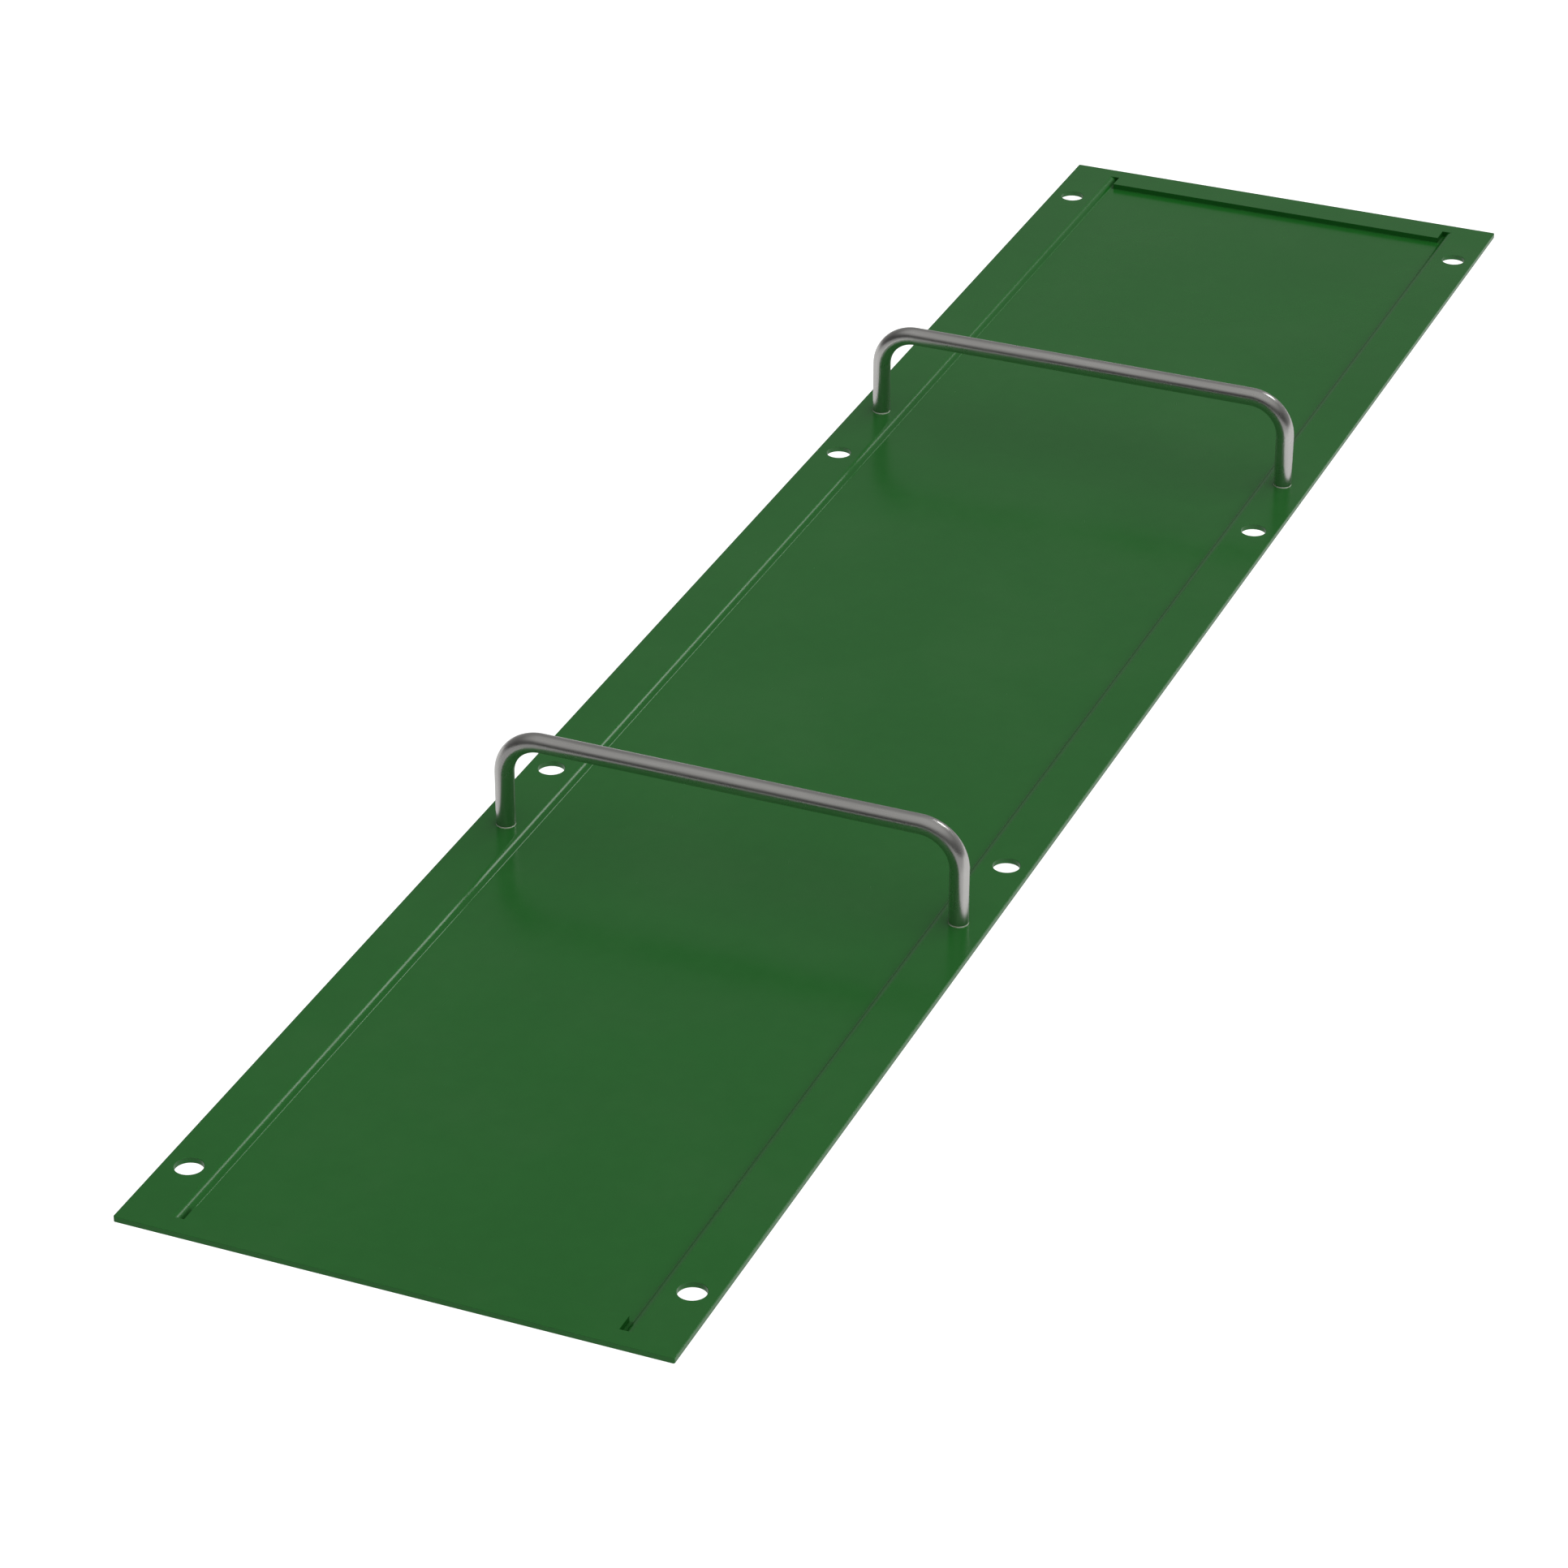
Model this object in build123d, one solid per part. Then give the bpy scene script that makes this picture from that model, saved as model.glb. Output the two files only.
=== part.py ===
from build123d import *
import os
from math import acos, cos, degrees, radians, sin, tan

# Steel seat panel of a backless bench, with two low arm bars screwed to it from below.
# X runs along the bench, Y across it and Z up. The origin is the middle of the panel, on
# the underside of its rim, which is the face that lies on the bench's own supports.

# Panel sheet
LENGTH = 2000.0
WIDTH = 434.0
SHEET = 5.0
EDGE_ROUND = 0.6
CORNER_ROUND = 1.5

# Pressed-down middle of the panel. Its ends are sheared free of the rim, and the sheared edges
# part by one sheet thickness only, so they still meet over the lanced contact, under the coat.
RECESS_DEPTH = 5.0
BEND_RADIUS = 2.0
JOGGLE_FROM_EDGE = 38.5
SLIT_FROM_END = 16.0
TONGUE_LENGTH = 17.0
JOGGLE_FOOT = 2.2
LANCED_CONTACT = 0.3

# Open holes that bolt the panel to its supports
HOLE_DIAMETER = 22.0
HOLE_FROM_SIDE = 20.0
HOLE_FROM_END = 76.0
HOLES_PER_SIDE = 4
HOLE_EDGE_ROUND = 0.3

# Arm bars
BAR_DIAMETER = 16.0
BAR_RISE = 81.0
BAR_INNER_BEND = 25.0
BAR_FROM_HOLE = 94.0
LEG_FROM_SIDE = 24.0
FOOT_CHAMFER = 0.4

# Screws and washers that hold the bars
SCREW_DIAMETER = 8.0
SCREW_LENGTH = 20.0
SCREW_CHAMFER = 1.0
HEAD_FLATS = 13.0
HEAD_HEIGHT = 5.3
HEAD_CHAMFER_ANGLE = 30.0
THREAD_CLEARANCE = 0.05
TAPPING_RUN_OUT = 5.0
SHEET_HOLE_CLEARANCE = 0.5
WASHER_CLEARANCE = 0.2
FLAT_WASHER_DIAMETER = 16.0
FLAT_WASHER_THICKNESS = 1.6
SPRING_WASHER_DIAMETER = 14.8
SPRING_WASHER_THICKNESS = 2.0
SPRING_WASHER_GAP = 1.6
SPRING_WASHER_SLANT = 25.0
FOOT_RING_THICKNESS = 0.8

# Places that follow from the sizes above
HALF_LENGTH = LENGTH / 2
HALF_WIDTH = WIDTH / 2
RECESS_TOP = SHEET - RECESS_DEPTH
OUTER_RADIUS = BEND_RADIUS + SHEET
BEND_ANGLE = acos(1 - RECESS_DEPTH / (BEND_RADIUS + OUTER_RADIUS))
JOGGLE_TOP_Y = HALF_WIDTH - JOGGLE_FROM_EDGE
JOGGLE_FOOT_Y = JOGGLE_TOP_Y - (BEND_RADIUS + OUTER_RADIUS) * sin(BEND_ANGLE)
STRIP_Y = JOGGLE_FOOT_Y - JOGGLE_FOOT
SLIT_X = HALF_LENGTH - SLIT_FROM_END
TONGUE_X = SLIT_X - TONGUE_LENGTH
HOLE_Y = HALF_WIDTH - HOLE_FROM_SIDE
HOLE_PITCH = (LENGTH - 2 * HOLE_FROM_END) / (HOLES_PER_SIDE - 1)
HOLE_XS = [HOLE_FROM_END - HALF_LENGTH + n * HOLE_PITCH for n in range(HOLES_PER_SIDE)]
BAR_X = HOLE_XS[-2] + BAR_FROM_HOLE
LEG_Y = HALF_WIDTH - LEG_FROM_SIDE
LEG_FOOT_Z = SHEET + FOOT_RING_THICKNESS
BAR_Z = SHEET + BAR_RISE
BAR_BEND_RADIUS = BAR_INNER_BEND + BAR_DIAMETER / 2
SPRING_WASHER_Z = -FLAT_WASHER_THICKNESS
HEAD_Z = SPRING_WASHER_Z - SPRING_WASHER_THICKNESS
THREAD_DEPTH = HEAD_Z + SCREW_LENGTH - LEG_FOOT_Z

SIDES = {"left": -1, "right": 1}
ENDS = {"front": -1, "rear": 1}


def slab(x_low, x_high, y_low, y_high, z_low, z_high):
    """A box between two corners."""
    middle = ((x_low + x_high) / 2, (y_low + y_high) / 2, (z_low + z_high) / 2)
    return Pos(*middle) * Box(x_high - x_low, y_high - y_low, z_high - z_low)


def joggle_profile(y_inner):
    """The side rim's section from y_inner out to where the rim is flat: foot, two bends."""
    turn = degrees(BEND_ANGLE)
    upper_centre = (JOGGLE_TOP_Y, -BEND_RADIUS)
    lower_centre = (JOGGLE_FOOT_Y, RECESS_TOP + BEND_RADIUS)
    recess_base = RECESS_TOP - SHEET
    flat_y = JOGGLE_TOP_Y + SHEET
    edges = [
        Line((y_inner, RECESS_TOP), (JOGGLE_FOOT_Y, RECESS_TOP)),
        CenterArc(lower_centre, BEND_RADIUS, 270, turn),
        CenterArc(upper_centre, OUTER_RADIUS, 90, turn),
        Line((JOGGLE_TOP_Y, SHEET), (flat_y, SHEET)),
        Line((flat_y, SHEET), (flat_y, 0)),
        Line((flat_y, 0), (JOGGLE_TOP_Y, 0)),
        CenterArc(upper_centre, BEND_RADIUS, 90, turn),
        CenterArc(lower_centre, OUTER_RADIUS, 270, turn),
        Line((JOGGLE_FOOT_Y, recess_base), (y_inner, recess_base)),
        Line((y_inner, recess_base), (y_inner, RECESS_TOP)),
    ]
    return Plane.YZ * make_face(Curve() + edges)


def side_joggles(y_inner, half_run):
    """Both long joggles, out to half_run each way along the bench."""
    one_side = extrude(joggle_profile(y_inner), half_run, both=True)
    return one_side + mirror(one_side, Plane.XZ)


def end_rim(x_sign):
    """The flat rim across one end, and its tongue that stays up beside the recess."""
    rim = slab(SLIT_X, HALF_LENGTH, -HALF_WIDTH, HALF_WIDTH, 0, SHEET)
    tongue_y = STRIP_Y + LANCED_CONTACT
    tongue = slab(TONGUE_X, SLIT_X, -tongue_y, tongue_y, 0, SHEET)
    end = rim + tongue
    return end if x_sign > 0 else mirror(end, Plane.YZ)


def side_rim(y_sign):
    """The flat rim along one long side, outside the joggle."""
    rim = slab(-HALF_LENGTH, HALF_LENGTH, JOGGLE_TOP_Y, HALF_WIDTH, 0, SHEET)
    return rim if y_sign > 0 else mirror(rim, Plane.XZ)


def round_outline(panel):
    """Plan corners and the outline's top and bottom edges, broken before powder coating."""
    corners = [
        edge
        for edge in panel.edges().filter_by(Axis.Z)
        if abs(abs(edge.center().X) - HALF_LENGTH) < EDGE_ROUND
        and abs(abs(edge.center().Y) - HALF_WIDTH) < EDGE_ROUND
    ]
    panel = fillet(corners, CORNER_ROUND)
    outline_faces = []
    for axis in (Axis.X, Axis.Y):
        across = panel.faces().filter_by(axis).sort_by(axis)
        outline_faces += [across[0], across[-1]]
    outline = [
        edge
        for face in outline_faces
        for edge in face.edges()
        if abs(edge.center().Z - SHEET / 2) > SHEET / 4
    ]
    return fillet(outline, EDGE_ROUND)


def bolt_hole_cutter():
    """One open bolt hole with its edges slightly rounded, as a solid to cut away."""
    radius = HOLE_DIAMETER / 2
    lip = HOLE_EDGE_ROUND
    bore = Pos(0, 0, SHEET / 2) * Cylinder(radius, 2 * SHEET)
    lower_lip = Pos(0, 0, lip / 2) * Cone(radius + lip, radius, lip)
    upper_lip = Pos(0, 0, SHEET - lip / 2) * Cone(radius, radius + lip, lip)
    return bore + lower_lip + upper_lip


def seat_panel():
    """The whole pressed sheet, with its bolt holes and the screw holes under the bars."""
    recess_y = JOGGLE_FOOT_Y
    recess_x = TONGUE_X + LANCED_CONTACT
    panel = slab(-recess_x, recess_x, -recess_y, recess_y, RECESS_TOP - SHEET, RECESS_TOP)
    panel += side_joggles(STRIP_Y, SLIT_X + LANCED_CONTACT)
    panel += [end_rim(sign) for sign in (-1, 1)]
    panel += [side_rim(sign) for sign in (-1, 1)]
    panel = round_outline(panel)
    bolt_hole = bolt_hole_cutter()
    panel -= [Pos(x, y, 0) * bolt_hole for x in HOLE_XS for y in (-HOLE_Y, HOLE_Y)]
    screw_hole = Cylinder(SCREW_DIAMETER / 2 + SHEET_HOLE_CLEARANCE, 4 * SHEET)
    panel -= [Pos(x, y, 0) * screw_hole for x in (-BAR_X, BAR_X) for y in (-LEG_Y, LEG_Y)]
    return panel


def armrest(x):
    """One round bar bent into a bridge, with a tapped hole up each foot."""
    path = FilletPolyline(
        (x, -LEG_Y, LEG_FOOT_Z),
        (x, -LEG_Y, BAR_Z),
        (x, LEG_Y, BAR_Z),
        (x, LEG_Y, LEG_FOOT_Z),
        radius=BAR_BEND_RADIUS,
    )
    section = Plane((x, -LEG_Y, LEG_FOOT_Z)) * Circle(BAR_DIAMETER / 2)
    bar = sweep(section, path=path)
    bar = chamfer(bar.edges().group_by(Axis.Z)[0], FOOT_CHAMFER)
    depth = THREAD_DEPTH + TAPPING_RUN_OUT
    tapped = Cylinder(SCREW_DIAMETER / 2 + THREAD_CLEARANCE, 2 * depth)
    return bar - [Pos(x, y, LEG_FOOT_Z) * tapped for y in (-LEG_Y, LEG_Y)]


def washer(outer_diameter, thickness, z_low):
    """A flat ring that slips over the screw."""
    body = Cylinder(outer_diameter / 2, thickness)
    bore = Cylinder(SCREW_DIAMETER / 2 + WASHER_CLEARANCE, 2 * thickness)
    return Pos(0, 0, z_low + thickness / 2) * (body - bore)


def spring_washer():
    """The split washer, pressed flat under the head, with its slanted gap."""
    ring = washer(SPRING_WASHER_DIAMETER, SPRING_WASHER_THICKNESS, HEAD_Z)
    split = Box(SPRING_WASHER_DIAMETER, SPRING_WASHER_GAP, 3 * SPRING_WASHER_THICKNESS)
    reach = SPRING_WASHER_DIAMETER / 2
    middle_z = HEAD_Z + SPRING_WASHER_THICKNESS / 2
    return ring - Pos(reach, 0, middle_z) * Rot(SPRING_WASHER_SLANT, 0, 0) * split


def hex_screw():
    """Hex head screw, head down, with its thread drawn as a plain shank."""
    hexagon = extrude(RegularPolygon(HEAD_FLATS / 2, 6, major_radius=False), HEAD_HEIGHT)
    corner_radius = HEAD_FLATS / 2 / cos(radians(30))
    corner_cut = corner_radius - HEAD_FLATS / 2
    turned = Pos(0, 0, HEAD_HEIGHT / 2) * Cylinder(corner_radius, HEAD_HEIGHT)
    lower_rim = turned.edges().sort_by(Axis.Z)[0]
    turned = chamfer(lower_rim, corner_cut * tan(radians(HEAD_CHAMFER_ANGLE)), corner_cut)
    shank = Pos(0, 0, HEAD_HEIGHT + SCREW_LENGTH / 2) * Cylinder(SCREW_DIAMETER / 2, SCREW_LENGTH)
    shank = chamfer(shank.edges().sort_by(Axis.Z)[-1], SCREW_CHAMFER)
    return Pos(0, 0, HEAD_Z - HEAD_HEIGHT) * ((hexagon & turned) + shank)


def foot_fixings():
    """The pieces stacked at one foot, about the leg's own axis."""
    return {
        "foot_ring": washer(BAR_DIAMETER, FOOT_RING_THICKNESS, SHEET),
        "flat_washer": washer(FLAT_WASHER_DIAMETER, FLAT_WASHER_THICKNESS, SPRING_WASHER_Z),
        "spring_washer": spring_washer(),
        "foot_screw": hex_screw(),
    }


def all_pieces():
    """Every piece of the assembly in its place, by node name."""
    pieces = {"seat_panel": seat_panel()}
    fixings = foot_fixings()
    for side, x_sign in SIDES.items():
        pieces[f"armrest_{side}"] = armrest(x_sign * BAR_X)
        for end, y_sign in ENDS.items():
            for name, piece in fixings.items():
                pieces[f"{name}_{side}_{end}"] = Pos(x_sign * BAR_X, y_sign * LEG_Y, 0) * piece
    return pieces


os.makedirs("parts", exist_ok=True)
for node, shape in all_pieces().items():
    export_step(shape, f"parts/{node}.step")
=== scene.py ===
import math

import bmesh
import bpy
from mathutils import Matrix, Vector


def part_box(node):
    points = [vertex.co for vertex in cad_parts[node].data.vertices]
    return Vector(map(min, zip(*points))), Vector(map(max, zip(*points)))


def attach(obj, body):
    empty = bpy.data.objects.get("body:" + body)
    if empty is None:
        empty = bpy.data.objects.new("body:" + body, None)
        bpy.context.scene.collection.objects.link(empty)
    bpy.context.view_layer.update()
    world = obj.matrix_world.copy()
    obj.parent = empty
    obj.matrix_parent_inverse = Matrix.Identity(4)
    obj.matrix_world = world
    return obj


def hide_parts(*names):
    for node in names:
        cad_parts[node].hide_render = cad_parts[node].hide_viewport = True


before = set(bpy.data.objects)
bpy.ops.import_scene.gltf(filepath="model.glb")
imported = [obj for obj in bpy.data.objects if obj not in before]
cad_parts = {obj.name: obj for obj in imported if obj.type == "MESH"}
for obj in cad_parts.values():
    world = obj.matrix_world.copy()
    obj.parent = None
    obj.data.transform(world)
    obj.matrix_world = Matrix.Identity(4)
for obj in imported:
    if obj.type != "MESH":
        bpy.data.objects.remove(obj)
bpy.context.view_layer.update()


# ---------------------------------------------------------------------------------------------
# Seat panel. One sheet of 5 mm steel, its middle pressed 5 mm down between two long joggles and
# slit free of the flat rim at both ends. Laser cut, pressed, edges broken, then powder coated
# deep green all over, so the coat is thinner on every edge and ripples slightly on the flats.
# ---------------------------------------------------------------------------------------------

MM = 0.001

PANEL_GREEN = (0.0100, 0.1130, 0.0138, 1)
PANEL_GREEN_DEEP = (0.0088, 0.1055, 0.0124, 1)
THIN_COAT_GREEN = (0.020, 0.132, 0.025, 1)
PANEL_DUST = (0.15, 0.19, 0.13, 1)
# Painted shade: the deep green laid into the end pockets.
POCKET_PAINTED_SHADE = (0.0015, 0.0640, 0.0030, 1)
POWDER_COAT_IOR = 1.5
THIN_COAT_SHOWS = 0.6

# The clean coat's roughness, and what the drift of the spray, each kind of wear and the painted
# pocket shade add to it.
PANEL_ROUGHNESS = 0.21
DRIFT_ROUGHENS = 0.05
PANEL_DUST_ROUGHENS = 1.2
PANEL_EDGES_ROUGHEN = 0.04
PANEL_RUBS_ROUGHEN = 0.05
# Roughness added where the pockets' painted shade lies.
POCKET_SHADE_ROUGHENS = 0.4

# Noise scales, here and below, are in cells to the metre.
SLOW_DRIFT_SCALE = 5.5
FINE_DRIFT_SCALE = 70.0
FINE_DRIFT_SHARE = 0.35
DEEP_GREEN_BELOW, FULL_GREEN_ABOVE = 0.32, 0.68
PEEL_SCALE = 150.0
FINE_PEEL_SCALE = 420.0
FINE_PEEL_SHARE = 0.4
PEEL_DEPTH = 0.012 * MM
SHEET_WAVE_SCALE = 4.0
SHEET_WAVE_DEPTH = 0.6 * MM

# A pocket's inner and outer limit, measured in from the panel's end, then from its long side.
POCKET_FROM_END = (33 * MM, 16 * MM)
POCKET_FROM_SIDE = (48.8 * MM, 44 * MM)
RIM_TOP = 5 * MM
# How thin the painted pocket shade gets where the fine drift is lowest.
POCKET_SHADE_THINNEST = 0.82

# Where a noise starts to count, and where it counts in full.
PATCHY_EDGES = (0.35, 0.65)
CLOUDY_DUST = (0.4, 0.75)
SPARSE_RUBS = (0.74, 0.82)

VALUE, VECTOR = "NodeSocketFloat", "NodeSocketVector"


def feed(tree, node, inputs):
    """Sets a node's sockets, each to a value or to the socket that is to feed it."""
    for socket, value in inputs.items():
        if isinstance(value, bpy.types.NodeSocket):
            tree.links.new(value, node.inputs[socket])
        else:
            node.inputs[socket].default_value = value


def place(tree, kind, inputs=None, **settings):
    """Adds one shader node with its settings made and its sockets fed."""
    node = tree.nodes.new("ShaderNode" + kind)
    for name, value in settings.items():
        setattr(node, name, value)
    feed(tree, node, inputs or {})
    return node


def maths(tree, operation, *values):
    """One Math node on one to three values or sockets; gives its output."""
    return place(tree, "Math", dict(enumerate(values)), operation=operation).outputs[0]


def build_up(tree, base, *layers):
    """Adds each layer's mask times its amount to a base value."""
    for mask, amount in layers:
        base = maths(tree, "MULTIPLY_ADD", mask, amount, base)
    return base


def mingle(tree, first, second, first_share):
    """Adds two noises in shares that make up one."""
    rest = maths(tree, "MULTIPLY", second, 1 - first_share)
    return maths(tree, "MULTIPLY_ADD", first, first_share, rest)


def spread(tree, value, low, high, to_low=0.0, to_high=1.0):
    """Maps value from low..high onto to_low..to_high, eased at both ends."""
    sockets = {
        "Value": value,
        "From Min": low,
        "From Max": high,
        "To Min": to_low,
        "To Max": to_high,
    }
    return place(tree, "MapRange", sockets, interpolation_type="SMOOTHSTEP").outputs["Result"]


def blend_colour(tree, factor, first, second):
    """Mixes two colours and gives the result."""
    return place(tree, "Mix", {0: factor, 6: first, 7: second}, data_type="RGBA").outputs[2]


def own_place(tree):
    """Each point's place on the piece, in metres."""
    return place(tree, "TexCoord").outputs["Object"]


def axis(tree, vector, letter):
    """One of a vector's three numbers."""
    return place(tree, "SeparateXYZ", {0: vector}).outputs[letter]


def drawn_out(tree, vector, by):
    """The vector multiplied axis by axis, which draws a noise out along one of them."""
    return place(tree, "VectorMath", {0: vector, 1: by}, operation="MULTIPLY").outputs[0]


def speckle(tree, vector, scale, detail, roughness=0.5):
    """Noise of about so many cells to the metre."""
    sockets = {"Vector": vector, "Scale": scale, "Detail": detail, "Roughness": roughness}
    return place(tree, "TexNoise", sockets).outputs["Fac"]


def bump(tree, height, depth, over=None):
    """Gives the normal of a relief of this depth, laid over another normal if there is one."""
    sockets = {"Height": height, "Distance": depth, "Strength": 1.0}
    if over is not None:
        sockets["Normal"] = over
    return place(tree, "Bump", sockets).outputs[0]


def start_effect(name, inputs, outputs):
    """Starts a shader group with named sockets; gives it, what comes in and what goes out."""
    effect = bpy.data.node_groups.new(name, "ShaderNodeTree")
    for label, kind in inputs.items():
        effect.interface.new_socket(label, in_out="INPUT", socket_type=kind)
    for label in outputs:
        effect.interface.new_socket(label, in_out="OUTPUT", socket_type=VALUE)
    inside = effect.nodes.new("NodeGroupInput").outputs
    outside = effect.nodes.new("NodeGroupOutput").inputs
    return effect, inside, outside


def use_effect(tree, effect, inputs):
    """Places an effect in a material with its own values; gives its outputs."""
    node = tree.nodes.new("ShaderNodeGroup")
    node.node_tree = effect
    feed(tree, node, inputs)
    return node.outputs


def new_finish(name):
    """A new material; gives it, its tree and its Principled node."""
    material = bpy.data.materials.new(name)
    material.use_nodes = True
    return material, material.node_tree, material.node_tree.nodes["Principled BSDF"]


def coat(node_name, material):
    """Gives a CAD piece its finish through its material slots."""
    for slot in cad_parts[node_name].material_slots:
        slot.material = material


# Worn edges: 1 where the surface turns within Reach, 0 on the flat, broken up by a noise. How
# far it turns is the cosine between the true normal and the normal of a rounded edge.
FLAT_COSINE, TURNED_COSINE = 0.995, 0.80
worn_edges, inside, outside = start_effect(
    "worn_edges", {"Reach": VALUE, "Patch Scale": VALUE}, ["Mask"]
)
tree = worn_edges
rounded = place(tree, "Bevel", {"Radius": inside["Reach"]}, samples=6).outputs[0]
true_normal = place(tree, "NewGeometry").outputs["Normal"]
normals = {0: rounded, 1: true_normal}
cosine = place(tree, "VectorMath", normals, operation="DOT_PRODUCT").outputs["Value"]
turned = spread(tree, cosine, FLAT_COSINE, TURNED_COSINE)
patches = speckle(tree, own_place(tree), inside["Patch Scale"], 2.0)
mask = maths(tree, "MULTIPLY", turned, spread(tree, patches, *PATCHY_EDGES))
tree.links.new(mask, outside["Mask"])

# Settled dust: a soft film on what faces up, thicker in large slow patches.
DUST_FROM_SLOPE, DUST_FULL_SLOPE = 0.2, 0.95
settled_dust, inside, outside = start_effect(
    "settled_dust", {"Patch Scale": VALUE, "Amount": VALUE}, ["Mask"]
)
tree = settled_dust
upward = axis(tree, place(tree, "NewGeometry").outputs["Normal"], "Z")
cloud = speckle(tree, own_place(tree), inside["Patch Scale"], 5.0, 0.62)
lying = spread(tree, upward, DUST_FROM_SLOPE, DUST_FULL_SLOPE)
film = maths(tree, "MULTIPLY", lying, spread(tree, cloud, *CLOUDY_DUST))
tree.links.new(maths(tree, "MULTIPLY", film, inside["Amount"]), outside["Mask"])

# Hairline rubs: long thin marks in two slightly crossed directions. Each direction has its turn
# in radians and a shift that keeps the two sets of marks from being alike.
RUB_DIRECTIONS = ((0.12, 0.0), (-0.31, 7.3))
RUB_DRAWN_OUT = (0.045, 1.0, 1.0)
hairlines, inside, outside = start_effect(
    "hairlines", {"Vector": VECTOR, "Scale": VALUE}, ["Mask"]
)
tree = hairlines
marks = []
for turn, shift in RUB_DIRECTIONS:
    crossed = {"Vector": inside["Vector"], "Angle": turn}
    crossed = place(tree, "VectorRotate", crossed, rotation_type="Z_AXIS").outputs[0]
    shifted = {0: drawn_out(tree, crossed, RUB_DRAWN_OUT), 1: (shift, shift, 0)}
    shifted = place(tree, "VectorMath", shifted, operation="ADD").outputs[0]
    line = speckle(tree, shifted, inside["Scale"], 1.0)
    marks.append(spread(tree, line, *SPARSE_RUBS))
tree.links.new(maths(tree, "MAXIMUM", *marks), outside["Mask"])

# The powder coat: two near greens that drift, then thin edges, and dust over them.
green_powder_coat, tree, surface = new_finish("green_powder_coat")
panel_place = own_place(tree)
slow_drift = speckle(tree, panel_place, SLOW_DRIFT_SCALE, 3.0, 0.55)
fine_drift = speckle(tree, panel_place, FINE_DRIFT_SCALE, 2.0)
drift = mingle(tree, fine_drift, slow_drift, FINE_DRIFT_SHARE)
drift = spread(tree, drift, DEEP_GREEN_BELOW, FULL_GREEN_ABOVE)
edge_mask = use_effect(tree, worn_edges, {"Reach": 1.1 * MM, "Patch Scale": 260.0})["Mask"]
dust_mask = use_effect(tree, settled_dust, {"Patch Scale": 6.0, "Amount": 0.035})["Mask"]
rub_mask = use_effect(tree, hairlines, {"Vector": panel_place, "Scale": 420.0})["Mask"]
thin_coat = maths(tree, "MULTIPLY", edge_mask, THIN_COAT_SHOWS)
green = blend_colour(tree, drift, PANEL_GREEN_DEEP, PANEL_GREEN)
green = blend_colour(tree, thin_coat, green, THIN_COAT_GREEN)
green = blend_colour(tree, dust_mask, green, PANEL_DUST)

# Painted shade: the four small pockets beside the end tongues are darkened below the rim's top to
# a deep, dull green, standing in for the shade that falls in these narrow slots. Each limit gives
# a direction, where the painted shade has faded out, and where it is full.
panel_end, panel_side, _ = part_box("seat_panel")[1]
inner_end, outer_end = (panel_end - inset for inset in POCKET_FROM_END)
inner_side, outer_side = (panel_side - inset for inset in POCKET_FROM_SIDE)
from_middle = maths(tree, "ABSOLUTE", axis(tree, panel_place, "X"))
from_centre_line = maths(tree, "ABSOLUTE", axis(tree, panel_place, "Y"))
up = axis(tree, panel_place, "Z")
pocket_limits = (
    (from_middle, inner_end - 1.5 * MM, inner_end + 0.5 * MM),
    (from_middle, outer_end + 0.8 * MM, outer_end + 0.2 * MM),
    (from_centre_line, inner_side - 0.6 * MM, inner_side - 0.1 * MM),
    (from_centre_line, outer_side + 1.3 * MM, outer_side),
    (up, RIM_TOP - 0.05 * MM, RIM_TOP - 0.9 * MM),
    (up, -0.9 * MM, -0.4 * MM),
)
pocket_shade_mask = spread(tree, fine_drift, 0.0, 1.0, POCKET_SHADE_THINNEST, 1.0)
for direction, faded, full in pocket_limits:
    pocket_shade_mask = maths(tree, "MULTIPLY", pocket_shade_mask, spread(tree, direction, faded, full))
green = blend_colour(tree, pocket_shade_mask, green, POCKET_PAINTED_SHADE)

rough = build_up(
    tree,
    PANEL_ROUGHNESS - DRIFT_ROUGHENS / 2,
    (fine_drift, DRIFT_ROUGHENS),
    (dust_mask, PANEL_DUST_ROUGHENS),
    (edge_mask, PANEL_EDGES_ROUGHEN),
    (rub_mask, PANEL_RUBS_ROUGHEN),
    (pocket_shade_mask, POCKET_SHADE_ROUGHENS),
)
fine_peel = speckle(tree, panel_place, FINE_PEEL_SCALE, 1.0)
broad_peel = speckle(tree, panel_place, PEEL_SCALE, 1.0)
orange_peel = bump(tree, mingle(tree, fine_peel, broad_peel, FINE_PEEL_SHARE), PEEL_DEPTH)
sheet_wave = speckle(tree, panel_place, SHEET_WAVE_SCALE, 1.0)
normal = bump(tree, sheet_wave, SHEET_WAVE_DEPTH, over=orange_peel)
feed(tree, surface, {"Base Color": green, "Roughness": rough, "Normal": normal})
surface.inputs["IOR"].default_value = POWDER_COAT_IOR
coat("seat_panel", green_powder_coat)


# ---------------------------------------------------------------------------------------------
# Arm bars. Solid 16 mm stainless round bar, bent cold into a low bridge and satin polished along
# its length. Each foot is faced, chamfered and drilled for the screw that comes up through the
# sheet, so nothing of the fixing shows from above.
# ---------------------------------------------------------------------------------------------

BAR_RADIUS = 8 * MM
BAR_BEND_RADIUS = 33 * MM
FOOT_CHAMFER = 0.4 * MM
TAPPED_RADIUS = 4.05 * MM
TAPPED_DEPTH = 15.6 * MM
DRILL_POINT = 2.4 * MM

SIDES_ROUND_BAR = 72
STEP_ALONG_STRAIGHT = 12 * MM
STEPS_IN_BEND = 28
SHARP_EDGE = math.radians(30)

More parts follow.
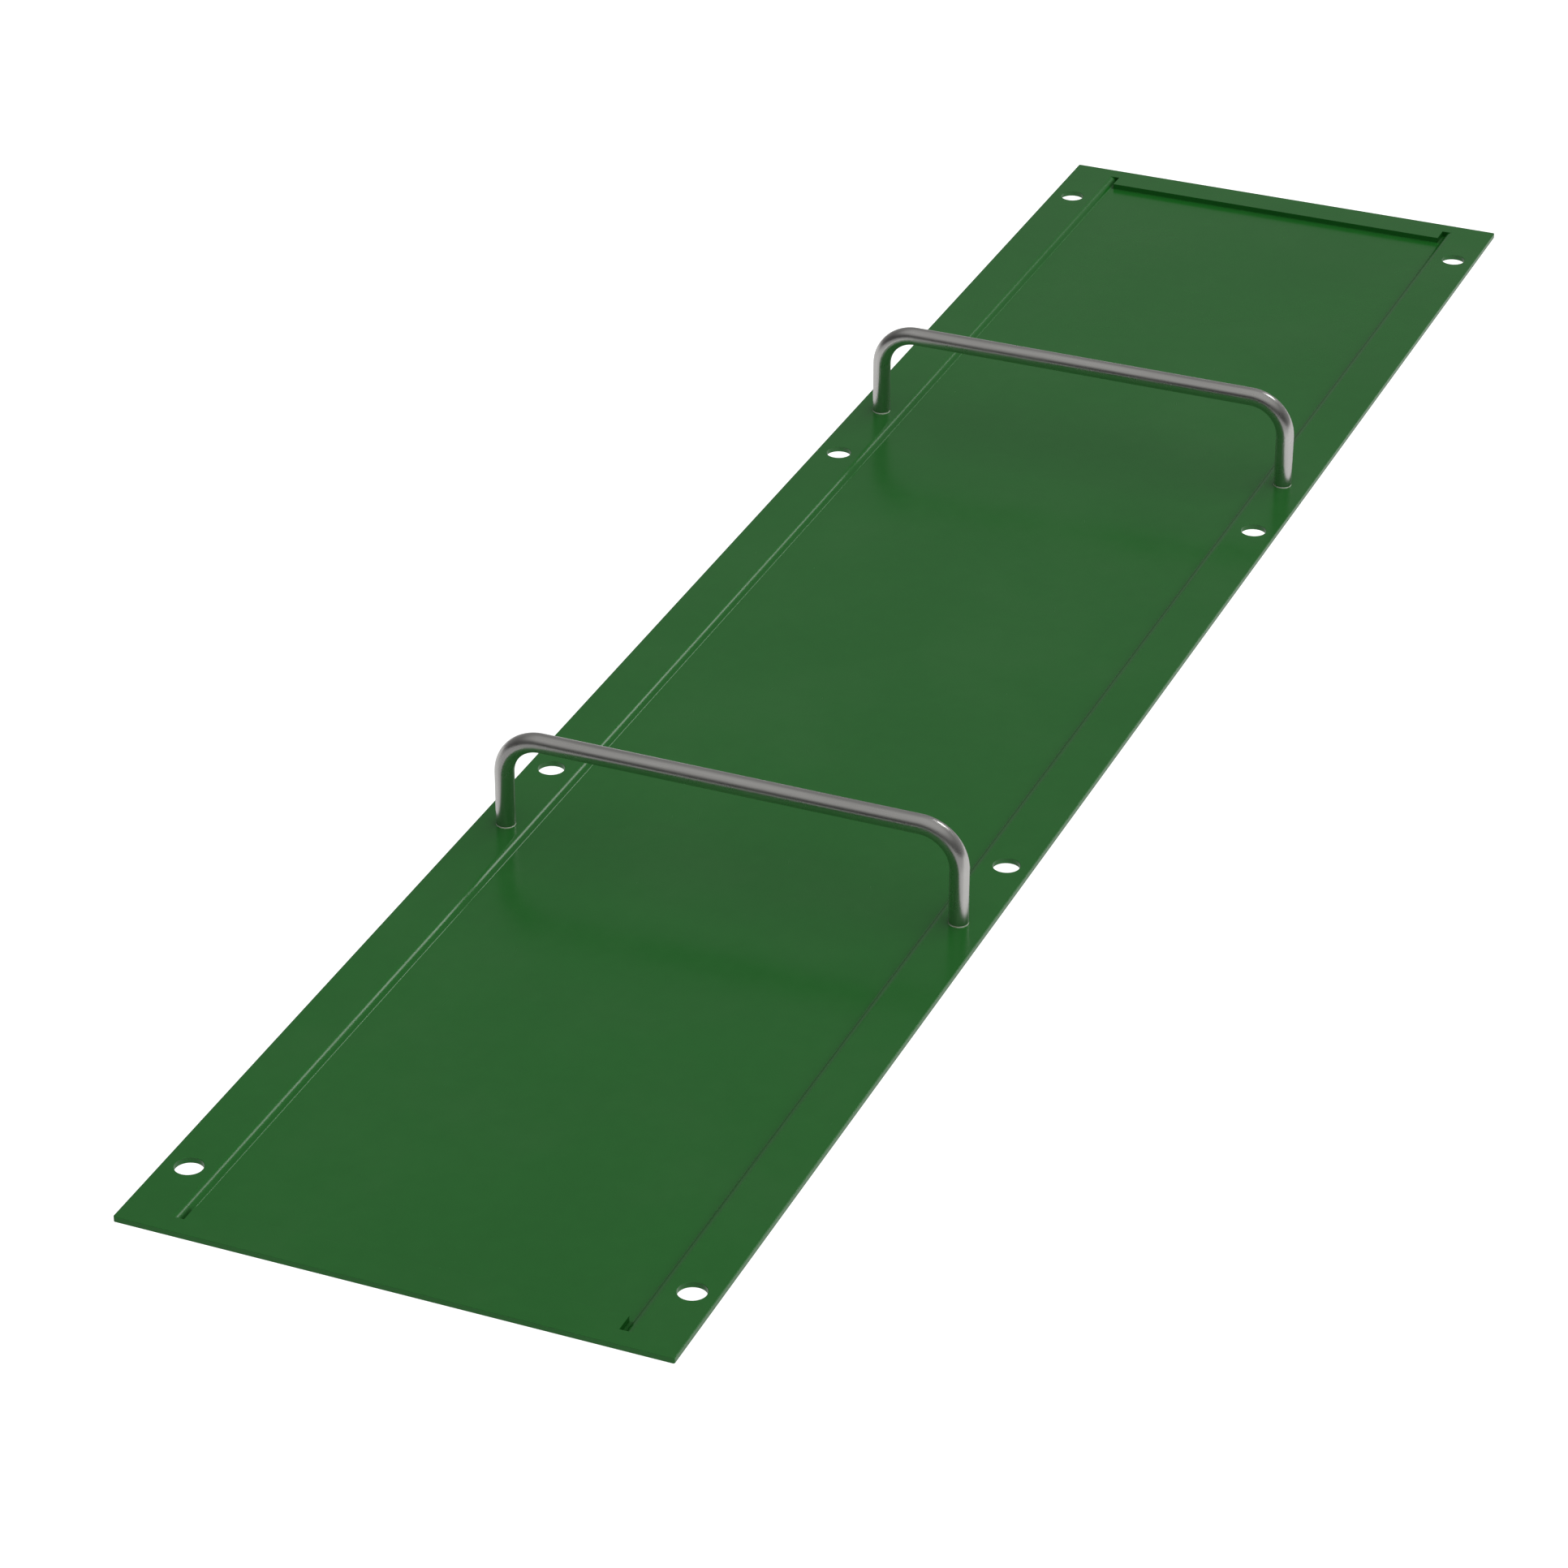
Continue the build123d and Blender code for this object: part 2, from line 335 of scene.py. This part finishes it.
STAINLESS = (0.67, 0.66, 0.645, 1)
STAINLESS_SHADE = (0.60, 0.59, 0.575, 1)
STAINLESS_EDGE = (0.88, 0.87, 0.85, 1)
BRIGHT_EDGE_SHOWS = 0.3
BAR_ROUGHNESS = 0.22
SMUDGES_ROUGHEN = 0.07
GRAIN_ROUGHENS = 0.05
BAR_DUST_ROUGHENS = 1.0
BAR_RUBS_ROUGHEN = 0.08
GRAIN_DEPTH = 0.005 * MM
GRAIN_CONTRAST = (0.35, 0.62)
SMUDGED_PATCHES = (0.35, 0.7)


def bar_centreline(leg_y, foot_z, run_z):
    """Stations from the front foot over to the rear foot: (y, z, leaning angle, length so far)."""
    quarter, half = math.radians(90), math.radians(180)
    bend_y, bend_z = leg_y - BAR_BEND_RADIUS, run_z - BAR_BEND_RADIUS
    stations = []
    leg_steps = math.ceil((bend_z - foot_z) / STEP_ALONG_STRAIGHT)
    for step in range(leg_steps):
        stations.append((-leg_y, foot_z + (bend_z - foot_z) * step / leg_steps, 0.0))
    for step in range(STEPS_IN_BEND + 1):
        angle = quarter * step / STEPS_IN_BEND
        y = -bend_y - BAR_BEND_RADIUS * math.cos(angle)
        stations.append((y, bend_z + BAR_BEND_RADIUS * math.sin(angle), angle))
    run_steps = math.ceil(bend_y / STEP_ALONG_STRAIGHT)
    for step in range(1, run_steps + 1):
        stations.append((-bend_y + bend_y * step / run_steps, run_z, quarter))
    # The rear half is the front half the other way round.
    stations += [(-y, z, half - angle) for y, z, angle in reversed(stations[:-1])]
    lengths = [0.0]
    for (y0, z0, _), (y1, z1, _) in zip(stations, stations[1:]):
        lengths.append(lengths[-1] + math.hypot(y1 - y0, z1 - z0))
    return [(y, z, angle, along) for (y, z, angle), along in zip(stations, lengths)]


def bar_rings(leg_y, foot_z, run_z):
    """The skin's rings, from inside the front foot's hole to inside the rear one's."""
    stations = bar_centreline(leg_y, foot_z, run_z)
    total = stations[-1][3]
    hole = [(TAPPED_RADIUS, TAPPED_DEPTH), (TAPPED_RADIUS, 0.0), (BAR_RADIUS - FOOT_CHAMFER, 0.0)]
    rings = [(-leg_y, foot_z + depth, 0.0, radius, -depth) for radius, depth in hole]
    for y, z, angle, along in stations:
        if min(along, total - along) < FOOT_CHAMFER:
            z += FOOT_CHAMFER
        rings.append((y, z, angle, BAR_RADIUS, along))
    for radius, depth in reversed(hole):
        rings.append((leg_y, foot_z + depth, math.radians(180), radius, total + depth))
    return rings


def bent_bar(name, node):
    """The bar as one closed skin, its grain laid out along and around it in the UV map."""
    low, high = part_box(node)
    x, leg_y = (low.x + high.x) / 2, high.y - BAR_RADIUS
    skin = bmesh.new()
    grain = skin.loops.layers.uv.new("grain")
    loops_round = []
    for y, z, angle, radius, along in bar_rings(leg_y, low.z, high.z - BAR_RADIUS):
        loop = []
        for side in range(SIDES_ROUND_BAR):
            turn = math.tau * side / SIDES_ROUND_BAR
            across, outward = radius * math.sin(turn), radius * math.cos(turn)
            corner = (x + across, y - outward * math.cos(angle), z + outward * math.sin(angle))
            loop.append(skin.verts.new(corner))
        loops_round.append((loop, along))
    around = math.tau * BAR_RADIUS
    for (first, start), (second, end) in zip(loops_round, loops_round[1:]):
        for side in range(SIDES_ROUND_BAR):
            after = (side + 1) % SIDES_ROUND_BAR
            face = skin.faces.new((first[side], second[side], second[after], first[after]))
            face.smooth = True
            shares = (side, side, side + 1, side + 1)
            for corner, share, along in zip(face.loops, shares, (start, end, end, start)):
                corner[grain].uv = (along, around * share / SIDES_ROUND_BAR)
    # The cone that the drill leaves closes each hole.
    for (loop, along), y, flip in ((loops_round[0], -leg_y, True), (loops_round[-1], leg_y, False)):
        point = skin.verts.new((x, y, low.z + TAPPED_DEPTH + DRILL_POINT))
        for side in range(SIDES_ROUND_BAR):
            after = (side + 1) % SIDES_ROUND_BAR
            corners = (loop[side], loop[after], point) if flip else (loop[after], loop[side], point)
            for corner in skin.faces.new(corners).loops:
                corner[grain].uv = (along, around * side / SIDES_ROUND_BAR)
    bmesh.ops.recalc_face_normals(skin, faces=skin.faces)
    mesh = bpy.data.meshes.new(name)
    skin.to_mesh(mesh)
    skin.free()
    mesh.set_sharp_from_angle(angle=SHARP_EDGE)
    bar = bpy.data.objects.new(name, mesh)
    bpy.context.scene.collection.objects.link(bar)
    return bar


# Polishing grain: fine lines drawn out along the vector's first axis, with broad soft bands.
FINE_LINES_DRAWN_OUT = (0.012, 1.0, 1.0)
BANDS_DRAWN_OUT = (0.03, 1.0, 1.0)
BANDS_TO_LINES = 0.22
polish_grain, inside, outside = start_effect(
    "polish_grain", {"Vector": VECTOR, "Line Scale": VALUE}, ["Height", "Shade"]
)
tree = polish_grain
lines_place = drawn_out(tree, inside["Vector"], FINE_LINES_DRAWN_OUT)
bands_place = drawn_out(tree, inside["Vector"], BANDS_DRAWN_OUT)
band_scale = maths(tree, "MULTIPLY", inside["Line Scale"], BANDS_TO_LINES)
fine_lines = speckle(tree, lines_place, inside["Line Scale"], 3.0)
broad_bands = speckle(tree, bands_place, band_scale, 1.0)
for label, line_share in (("Height", 0.75), ("Shade", 0.4)):
    tree.links.new(mingle(tree, fine_lines, broad_bands, line_share), outside[label])

# The bar's satin stainless, a little brighter on the chamfers, with smudges from hands.
stainless_bar, tree, surface = new_finish("stainless_bar")
grain_place = place(tree, "UVMap", uv_map="grain").outputs[0]
grain = use_effect(tree, polish_grain, {"Vector": grain_place, "Line Scale": 1400.0})
edge_mask = use_effect(tree, worn_edges, {"Reach": 0.5 * MM, "Patch Scale": 900.0})["Mask"]
dust_mask = use_effect(tree, settled_dust, {"Patch Scale": 30.0, "Amount": 0.05})["Mask"]
rub_mask = use_effect(tree, hairlines, {"Vector": grain_place, "Scale": 500.0})["Mask"]
smudges = spread(tree, speckle(tree, own_place(tree), 26.0, 4.0, 0.6), *SMUDGED_PATCHES)
grain_shade = spread(tree, grain["Shade"], *GRAIN_CONTRAST)
bright_edge = maths(tree, "MULTIPLY", edge_mask, BRIGHT_EDGE_SHOWS)
metal = blend_colour(tree, grain_shade, STAINLESS_SHADE, STAINLESS)
metal = blend_colour(tree, bright_edge, metal, STAINLESS_EDGE)
rough = build_up(
    tree,
    BAR_ROUGHNESS,
    (smudges, SMUDGES_ROUGHEN),
    (grain["Shade"], GRAIN_ROUGHENS),
    (dust_mask, BAR_DUST_ROUGHENS),
    (rub_mask, BAR_RUBS_ROUGHEN),
)
normal = bump(tree, grain["Height"], GRAIN_DEPTH)
feed(tree, surface, {"Base Color": metal, "Roughness": rough, "Normal": normal})
surface.inputs["Metallic"].default_value = 1.0

for side in ("left", "right"):
    bar = bent_bar(f"arm_bar_{side}", f"armrest_{side}")
    bar.data.materials.append(stainless_bar)
    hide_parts(f"armrest_{side}")
    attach(bar, "root")


# ---------------------------------------------------------------------------------------------
# Foot rings. Thin natural nylon rings, one under each foot of each bar, that keep the stainless
# bar off the powder coat. Punched from sheet, so faces are matt and the rim is slightly fibrous.
# ---------------------------------------------------------------------------------------------

# Pale nylon, yellowed in places. Each of these colours, the rim's too, carries a painted green
# cast: the green sheet's light painted in as if reflected in the ring.
NYLON_WITH_PAINTED_GREEN_CAST = (0.58, 0.65, 0.56, 1)
YELLOWED_NYLON_WITH_PAINTED_GREEN_CAST = (0.46, 0.51, 0.38, 1)
NYLON_DUST = (0.33, 0.34, 0.28, 1)
NYLON_EDGE = (0.72, 0.77, 0.70, 1)
NYLON_IOR = 1.53
PALE_EDGE_SHOWS = 0.35
NYLON_ROUGHNESS = 0.36
FIBRE_ROUGHENS = 0.2
FIBRE_DEPTH = 0.02 * MM
FIBRE_SQUEEZED = (1.0, 1.0, 4.0)
MILKY_CLOUDS = (0.35, 0.7)
FEET = [f"{side}_{end}" for side in ("left", "right") for end in ("front", "rear")]

nylon, tree, surface = new_finish("natural_nylon")
ring_place = own_place(tree)
clouding = spread(tree, speckle(tree, ring_place, 260.0, 3.0, 0.6), *MILKY_CLOUDS)
dust_mask = use_effect(tree, settled_dust, {"Patch Scale": 120.0, "Amount": 0.12})["Mask"]
edge_mask = use_effect(tree, worn_edges, {"Reach": 0.15 * MM, "Patch Scale": 1500.0})["Mask"]
pale_edge = maths(tree, "MULTIPLY", edge_mask, PALE_EDGE_SHOWS)
milky = blend_colour(tree, clouding, NYLON_WITH_PAINTED_GREEN_CAST, YELLOWED_NYLON_WITH_PAINTED_GREEN_CAST)
milky = blend_colour(tree, dust_mask, milky, NYLON_DUST)
milky = blend_colour(tree, pale_edge, milky, NYLON_EDGE)
fibre = speckle(tree, drawn_out(tree, ring_place, FIBRE_SQUEEZED), 1900.0, 3.0)
rough = build_up(tree, NYLON_ROUGHNESS, (fibre, FIBRE_ROUGHENS))
normal = bump(tree, fibre, FIBRE_DEPTH)
feed(tree, surface, {"Base Color": milky, "Roughness": rough, "Normal": normal})
surface.inputs["IOR"].default_value = NYLON_IOR
for foot in FEET:
    coat(f"foot_ring_{foot}", nylon)


# ---------------------------------------------------------------------------------------------
# Flat washers. Blanked from rolled stainless strip, so they carry the strip's straight rolling
# lines, and their rims are burnished by the punch. One under the sheet at each foot.
# ---------------------------------------------------------------------------------------------

STRIP_STAINLESS = (0.66, 0.65, 0.63, 1)
STRIP_SHADE = (0.50, 0.49, 0.475, 1)
STRIP_ROUGHNESS = 0.26
ROLLING_LINES = 1600.0
ROLLED_DEPTH = 0.01 * MM

BURNISHED = (0.80, 0.79, 0.77, 1)
BURNISH_SHOWS = 0.6
BURNISH_ROUGHENS = -0.1
HANDLING_ROUGHENS = 0.14
HANDLED_PATCHES = (0.3, 0.7)
TOOL_MARK_CONTRAST = (0.35, 0.65)


def fastener_metal(name, vector_of, line_scale, light, shade, roughness, depth):
    """A fastener's bare stainless, its tool marks along the first axis of vector_of(tree)."""
    material, tree, surface = new_finish(name)
    grain = use_effect(tree, polish_grain, {"Vector": vector_of(tree), "Line Scale": line_scale})
    edge_mask = use_effect(tree, worn_edges, {"Reach": 0.3 * MM, "Patch Scale": 1200.0})["Mask"]
    handled = spread(tree, speckle(tree, own_place(tree), 340.0, 3.0, 0.6), *HANDLED_PATCHES)
    tool_marks = spread(tree, grain["Shade"], *TOOL_MARK_CONTRAST)
    burnish = maths(tree, "MULTIPLY", edge_mask, BURNISH_SHOWS)
    metal = blend_colour(tree, tool_marks, shade, light)
    metal = blend_colour(tree, burnish, metal, BURNISHED)
    layers = ((handled, HANDLING_ROUGHENS), (edge_mask, BURNISH_ROUGHENS))
    rough = build_up(tree, roughness, *layers)
    normal = bump(tree, grain["Height"], depth)
    feed(tree, surface, {"Base Color": metal, "Roughness": rough, "Normal": normal})
    surface.inputs["Metallic"].default_value = 1.0
    return material


strip_stainless = fastener_metal(
    "strip_stainless",
    own_place,
    ROLLING_LINES,
    STRIP_STAINLESS,
    STRIP_SHADE,
    STRIP_ROUGHNESS,
    ROLLED_DEPTH,
)
for foot in FEET:
    coat(f"flat_washer_{foot}", strip_stainless)


# ---------------------------------------------------------------------------------------------
# Spring washers. Square stainless wire coiled to one turn and cut with a slanted gap, shown
# pressed flat under the screw head. The drawing marks follow the wire round the ring.
# ---------------------------------------------------------------------------------------------

WIRE_STAINLESS = (0.52, 0.51, 0.50, 1)
WIRE_SHADE = (0.36, 0.355, 0.35, 1)
WIRE_ROUGHNESS = 0.34
DRAWING_MARKS = 2100.0
DRAWN_DEPTH = 0.012 * MM
MARKS_RADIUS = 6 * MM


def lines_round(foot):
    """Gives the marks of a piece turned or coiled about this foot's axis."""
    low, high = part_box(f"foot_screw_{foot}")
    middle = (low + high) / 2

    def round_axis(tree):
        shift = {0: own_place(tree), 1: (-middle.x, -middle.y, 0)}
        from_axis = place(tree, "VectorMath", shift, operation="ADD").outputs[0]
        turn = maths(tree, "ARCTAN2", axis(tree, from_axis, "Y"), axis(tree, from_axis, "X"))
        flat = drawn_out(tree, from_axis, (1.0, 1.0, 0.0))
        reach = place(tree, "VectorMath", {0: flat}, operation="LENGTH").outputs["Value"]
        run = maths(tree, "MULTIPLY", turn, MARKS_RADIUS)
        unrolled = {"X": run, "Y": reach, "Z": axis(tree, from_axis, "Z")}
        return place(tree, "CombineXYZ", unrolled).outputs[0]

    return round_axis


for foot in FEET:
    wire_stainless = fastener_metal(
        f"wire_stainless_{foot}",
        lines_round(foot),
        DRAWING_MARKS,
        WIRE_STAINLESS,
        WIRE_SHADE,
        WIRE_ROUGHNESS,
        DRAWN_DEPTH,
    )
    coat(f"spring_washer_{foot}", wire_stainless)


# ---------------------------------------------------------------------------------------------
# Foot screws. M8 x 20 hexagon head screws in stainless, driven up from below through washers,
# sheet and nylon ring into the bar's foot. Heads are cold formed and their ends faced round.
# ---------------------------------------------------------------------------------------------

SCREW_STAINLESS = (0.68, 0.67, 0.65, 1)
SCREW_SHADE = (0.50, 0.49, 0.48, 1)
SCREW_ROUGHNESS = 0.24
FACING_MARKS = 1500.0
FACED_DEPTH = 0.014 * MM

for foot in FEET:
    screw_stainless = fastener_metal(
        f"screw_stainless_{foot}",
        lines_round(foot),
        FACING_MARKS,
        SCREW_STAINLESS,
        SCREW_SHADE,
        SCREW_ROUGHNESS,
        FACED_DEPTH,
    )
    coat(f"foot_screw_{foot}", screw_stainless)


# ---------------------------------------------------------------------------------------------
# Studio. A plain, very pale floor at seat height below the panel, which hangs level as it would
# on its supports. The floor is lit through from beneath, so it stays even, and can be seen past
# from below to look at the underside.
# ---------------------------------------------------------------------------------------------

SEAT_HEIGHT = 0.45
FLOOR_REACH = 60.0
FLOOR_CORNERS = ((-1, -1), (1, -1), (1, 1), (-1, 1))
FLOOR_PALE = (0.28, 0.28, 0.28, 1)
FLOOR_ROUGHNESS = 0.9
FLOOR_SPECULAR = 0.1
WHITE = (1, 1, 1, 1)

# How strongly the floor glows: as it lights the piece, as it is seen, and as it is mirrored,
# which is weaker towards the bench's near end.
FLOOR_GLOW_SPREAD = 0.75
FLOOR_GLOW_SEEN = 1.0
FLOOR_MIRRORED_NEAR = 0.10
FLOOR_MIRRORED_FAR = 0.45
MIRRORED_NEAR_X, MIRRORED_FAR_X = -1.5, -0.5


def either(tree, test, no, yes):
    """Gives no where test is 0, and yes where it is 1."""
    return place(tree, "Mix", {0: test, 2: no, 3: yes}).outputs[0]


floor_skin = bmesh.new()
corners = [(x * FLOOR_REACH, y * FLOOR_REACH, -SEAT_HEIGHT) for x, y in FLOOR_CORNERS]
floor_skin.faces.new([floor_skin.verts.new(corner) for corner in corners])
floor_mesh = bpy.data.meshes.new("studio_floor")
floor_skin.to_mesh(floor_mesh)
floor_skin.free()
floor = bpy.data.objects.new("studio_floor", floor_mesh)
bpy.context.scene.collection.objects.link(floor)

pale_floor, tree, surface = new_finish("pale_floor")
surface.inputs["Base Color"].default_value = FLOOR_PALE
surface.inputs["Roughness"].default_value = FLOOR_ROUGHNESS
surface.inputs["Specular IOR Level"].default_value = FLOOR_SPECULAR
surface.inputs["Emission Color"].default_value = WHITE
along_floor = axis(tree, place(tree, "NewGeometry").outputs["Position"], "X")
mirrored_limits = (MIRRORED_NEAR_X, MIRRORED_FAR_X, FLOOR_MIRRORED_NEAR, FLOOR_MIRRORED_FAR)
mirrored = spread(tree, along_floor, *mirrored_limits)
ray = place(tree, "LightPath").outputs
glow = either(tree, ray["Is Glossy Ray"], FLOOR_GLOW_SPREAD, mirrored)
glow = either(tree, ray["Is Camera Ray"], glow, FLOOR_GLOW_SEEN)
tree.links.new(glow, surface.inputs["Emission Strength"])
underneath = place(tree, "NewGeometry").outputs["Backfacing"]
clear_side = place(tree, "BsdfTransparent").outputs[0]
sided = place(tree, "MixShader", {0: underneath, 1: surface.outputs[0], 2: clear_side})
tree.links.new(sided.outputs[0], tree.nodes["Material Output"].inputs["Surface"])
floor_mesh.materials.append(pale_floor)

# The room's own soft light: a pale patch overhead, dimmer walls, and the near wall the darkest.
# Directions run from -1 to 1. The patch leans towards the near end.
NEAR_WALL = (0.048, 0.048, 0.047, 1)
FAR_WALL = (0.252, 0.252, 0.250, 1)
OVERHEAD = (0.430, 0.430, 0.425, 1)
PALE_BACKDROP = (0.95, 0.95, 0.95, 1)
NEAR_WALL_X, FAR_WALL_X = -0.6, 0.85
OVERHEAD_LEAN = -0.25
OVERHEAD_FROM, OVERHEAD_FULL = 0.5, 0.95
room = bpy.data.worlds.new("studio_room")
bpy.context.scene.world = room
room.use_nodes = True
tree = room.node_tree
outlook = place(tree, "TexCoord").outputs["Generated"]
along, up = axis(tree, outlook, "X"), axis(tree, outlook, "Z")
walls = blend_colour(tree, spread(tree, along, NEAR_WALL_X, FAR_WALL_X), NEAR_WALL, FAR_WALL)
height = maths(tree, "MULTIPLY_ADD", along, OVERHEAD_LEAN, up)
overhead = spread(tree, height, OVERHEAD_FROM, OVERHEAD_FULL)
room_light = blend_colour(tree, overhead, walls, OVERHEAD)
looked_at = place(tree, "LightPath").outputs["Is Camera Ray"]
seen = blend_colour(tree, looked_at, room_light, PALE_BACKDROP)
tree.links.new(seen, tree.nodes["Background"].inputs["Color"])


def softbox(name, direction, distance, size, watts):
    """A square soft light that faces the middle of the panel."""
    light = bpy.data.lights.new(name, "AREA")
    light.shape = "SQUARE"
    light.size = size
    light.energy = watts
    lamp = bpy.data.objects.new(name, light)
    lamp.location = Vector(direction).normalized() * distance
    lamp.rotation_mode = "QUATERNION"
    lamp.rotation_quaternion = (-Vector(direction)).to_track_quat("-Z", "Y")
    lamp.visible_camera = False
    bpy.context.scene.collection.objects.link(lamp)
    return lamp


# The main soft light is a wide, bounced one over the front side, so shadows are faint and it has
# no mirror image. The small one beyond the far end gives the bends their bright line.
main_light = softbox(
    "overhead_softbox", direction=(-0.15, -0.55, 0.82), distance=40.0, size=70.0, watts=22800.0
)
main_light.visible_glossy = False
softbox("far_softbox", direction=(0.745, -0.26, 0.61), distance=14.0, size=3.4, watts=150.0)

# Camera: a long lens, out beyond the left end on the front side, looking down along the bench.
CAMERA_PLACE = Vector((-3.6191, -1.3956, 2.1383))
CAMERA_TARGET = Vector((-0.2590, 0.0130, 0.0050))
CAMERA_LENS = 120.18
SENSOR_WIDTH = 36.0
NEAREST_SEEN, FARTHEST_SEEN = 0.1, 200.0
camera_data = bpy.data.cameras.new("studio_camera")
camera_data.lens = CAMERA_LENS
camera_data.sensor_width = SENSOR_WIDTH
camera_data.clip_start = NEAREST_SEEN
camera_data.clip_end = FARTHEST_SEEN
camera = bpy.data.objects.new("studio_camera", camera_data)
camera.location = CAMERA_PLACE
camera.rotation_mode = "QUATERNION"
camera.rotation_quaternion = (CAMERA_TARGET - CAMERA_PLACE).to_track_quat("-Z", "Y")
bpy.context.scene.collection.objects.link(camera)
bpy.context.scene.camera = camera
bpy.context.scene.view_settings.view_transform = "Standard"
